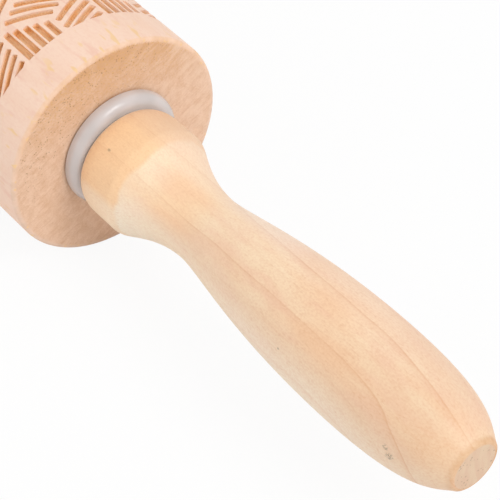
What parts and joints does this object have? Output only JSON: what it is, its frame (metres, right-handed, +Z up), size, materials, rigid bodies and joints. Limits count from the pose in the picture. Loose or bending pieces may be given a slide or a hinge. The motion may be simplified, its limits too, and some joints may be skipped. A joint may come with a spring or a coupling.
{
  "type": "embossed rolling pin",
  "caption": "Wooden rolling pin with an engraved hatch on its barrel, which spins on a steel rod between two turned handles.",
  "frame": {"origin": "middle of the barrel's length, on the surface that the pin lies on, straight below the axle", "axes": "+X along the axle towards the right handle, +Z up"},
  "size_m": [0.3504, 0.0446, 0.0446],
  "materials": {
    "barrel_wood": "sanded, unvarnished, with burnt grooves",
    "handle_wood": "sanded, thin clear oil",
    "bushing_nylon": "moulded, satin gloss",
    "rod_steel": "drawn",
    "insert_brass": "machined"
  },
  "bodies": {
    "handles": {"axle_rod": "rod_steel", "handle_left": "handle_wood", "handle_right": "handle_wood", "handle_insert_left": "insert_brass", "handle_insert_right": "insert_brass"},
    "roller": {"barrel": "barrel_wood", "bushing_left": "bushing_nylon", "bushing_right": "bushing_nylon"}
  },
  "joints": [
    {"name": "barrel_spin", "type": "hinge", "parent": "handles", "child": "roller", "pos_m": [0, 0, 0.02231], "axis": [1, 0, 0], "continuous": true}
  ]
}
